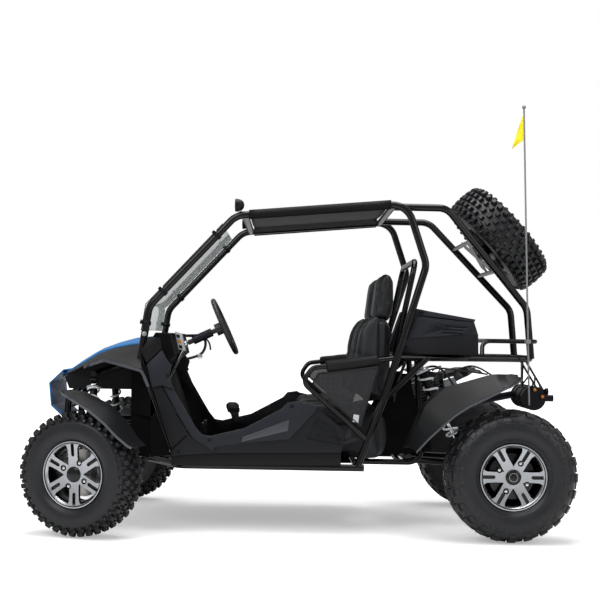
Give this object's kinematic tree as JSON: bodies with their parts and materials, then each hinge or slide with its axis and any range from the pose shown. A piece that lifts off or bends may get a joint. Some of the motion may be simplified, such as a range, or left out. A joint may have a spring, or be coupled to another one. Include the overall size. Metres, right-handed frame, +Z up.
{
  "type": "dune buggy",
  "caption": "Open off-road buggy with a tubular roll cage, side-by-side bucket seats, knobbly tyres, a canopy, a rear-mounted spare wheel and a whip flag.",
  "frame": {"origin": "on the ground, on the centre plane, midway between the axles", "axes": "+X forward, +Y to the vehicle's left, +Z up"},
  "size_m": [2.3465, 1.5815, 1.894],
  "materials": {
    "cage_black": "gloss",
    "pad_foam": "matt foam",
    "frame_black": "satin",
    "control_black": "satin",
    "dash_black": "grained",
    "engine_grey": "as cast",
    "flag_yellow": "woven",
    "pole_black": "satin",
    "floor_black": "satin",
    "fender_black": "grained",
    "rim_silver": "machined and painted",
    "tyre_black": "matt",
    "panel_blue": "gloss",
    "lamp_housing": "gloss",
    "exhaust_steel": "satin",
    "axle_steel": "satin",
    "panel_black": "satin",
    "canopy_fabric": "woven",
    "seat_vinyl": "grained",
    "spring_steel": "gloss",
    "net_mesh": "woven mesh",
    "grip_black": "satin",
    "screen_clear": "clear"
  },
  "bodies": {
    "chassis": {"arm_guards": "cage_black", "arm_pads": "pad_foam", "chassis_frame": "frame_black", "controls": "control_black", "dashboard": "dash_black", "engine": "engine_grey", "flag": "flag_yellow", "flag_pole": "pole_black", "floor_pan": "floor_black", "front_wishbones": "frame_black", "hood": "panel_blue", "lamps": "lamp_housing", "muffler": "exhaust_steel", "nose_panel": "panel_blue", "rear_covers": "panel_black", "rear_mudguards": "fender_black", "roll_cage": "cage_black", "roof_canopy": "canopy_fabric", "seat_left": "seat_vinyl", "seat_right": "seat_vinyl", "shock_absorbers": "spring_steel", "shoulder_shells": "panel_black", "side_nets": "net_mesh", "side_panels": "panel_black", "spare_mount": "cage_black", "spare_rim": "rim_silver", "spare_tyre": "tyre_black", "steering_housing": "control_black", "swing_arm": "frame_black", "tail_frame": "cage_black", "windscreen": "screen_clear"},
    "knuckle_left": {"steering_knuckle_left": "frame_black", "front_mudguard_left": "fender_black"},
    "knuckle_right": {"steering_knuckle_right": "frame_black", "front_mudguard_right": "fender_black"},
    "front_wheel_left": {"front_tyre_left": "tyre_black", "front_rim_left": "rim_silver"},
    "front_wheel_right": {"front_tyre_right": "tyre_black", "front_rim_right": "rim_silver"},
    "rear_wheels": {"rear_axle": "axle_steel", "rear_rims": "rim_silver", "rear_tyres": "tyre_black"},
    "steering_wheel": {"steering_wheel": "grip_black"},
    "steering_shaft": {"steering_shaft": "axle_steel"},
    "rack": {"steering_rack": "axle_steel"}
  },
  "joints": [
    {"name": "steer_left", "type": "hinge", "parent": "chassis", "child": "knuckle_left", "pos_m": [0.89, 0.569, 0.263], "axis": [0, 0, 1], "range_deg": [-9.5, 50.5]},
    {"name": "steer_right", "type": "hinge", "parent": "chassis", "child": "knuckle_right", "pos_m": [0.89, -0.569, 0.263], "axis": [0, 0, 1], "range_deg": [-9.5, 50.5]},
    {"name": "steering_wheel_turn", "type": "hinge", "parent": "chassis", "child": "steering_wheel", "pos_m": [0.339, 0.235, 0.888], "axis": [-0.9063, 0, 0.4226], "range_deg": [-57, 303]},
    {"name": "steering_shaft_turn", "type": "hinge", "parent": "chassis", "child": "steering_shaft", "pos_m": [0.785, 0.08, 0.266], "axis": [-0.4343, 0.2483, 0.8659], "range_deg": [-57, 303]},
    {"name": "rack_slide", "type": "slide", "parent": "chassis", "child": "rack", "axis": [0, 1, 0], "range_m": [-0.098, 0.019]},
    {"name": "front_wheel_left_spin", "type": "hinge", "parent": "knuckle_left", "child": "front_wheel_left", "pos_m": [0.89, 0.569, 0.263], "axis": [0.3502, 0.9367, 0], "continuous": true},
    {"name": "front_wheel_right_spin", "type": "hinge", "parent": "knuckle_right", "child": "front_wheel_right", "pos_m": [0.89, -0.569, 0.263], "axis": [0.3502, 0.9367, 0], "continuous": true},
    {"name": "rear_wheels_spin", "type": "hinge", "parent": "chassis", "child": "rear_wheels", "pos_m": [-0.89, 0, 0.279], "axis": [0, 1, 0], "continuous": true}
  ],
  "couplings": [
    {"joint": "steer_right", "follows": "steer_left", "ratio": 1},
    {"joint": "steering_wheel_turn", "follows": "steer_left", "ratio": 6},
    {"joint": "steering_shaft_turn", "follows": "steer_left", "ratio": 6},
    {"joint": "rack_slide", "follows": "steer_left", "m_per_rad": -0.11}
  ]
}
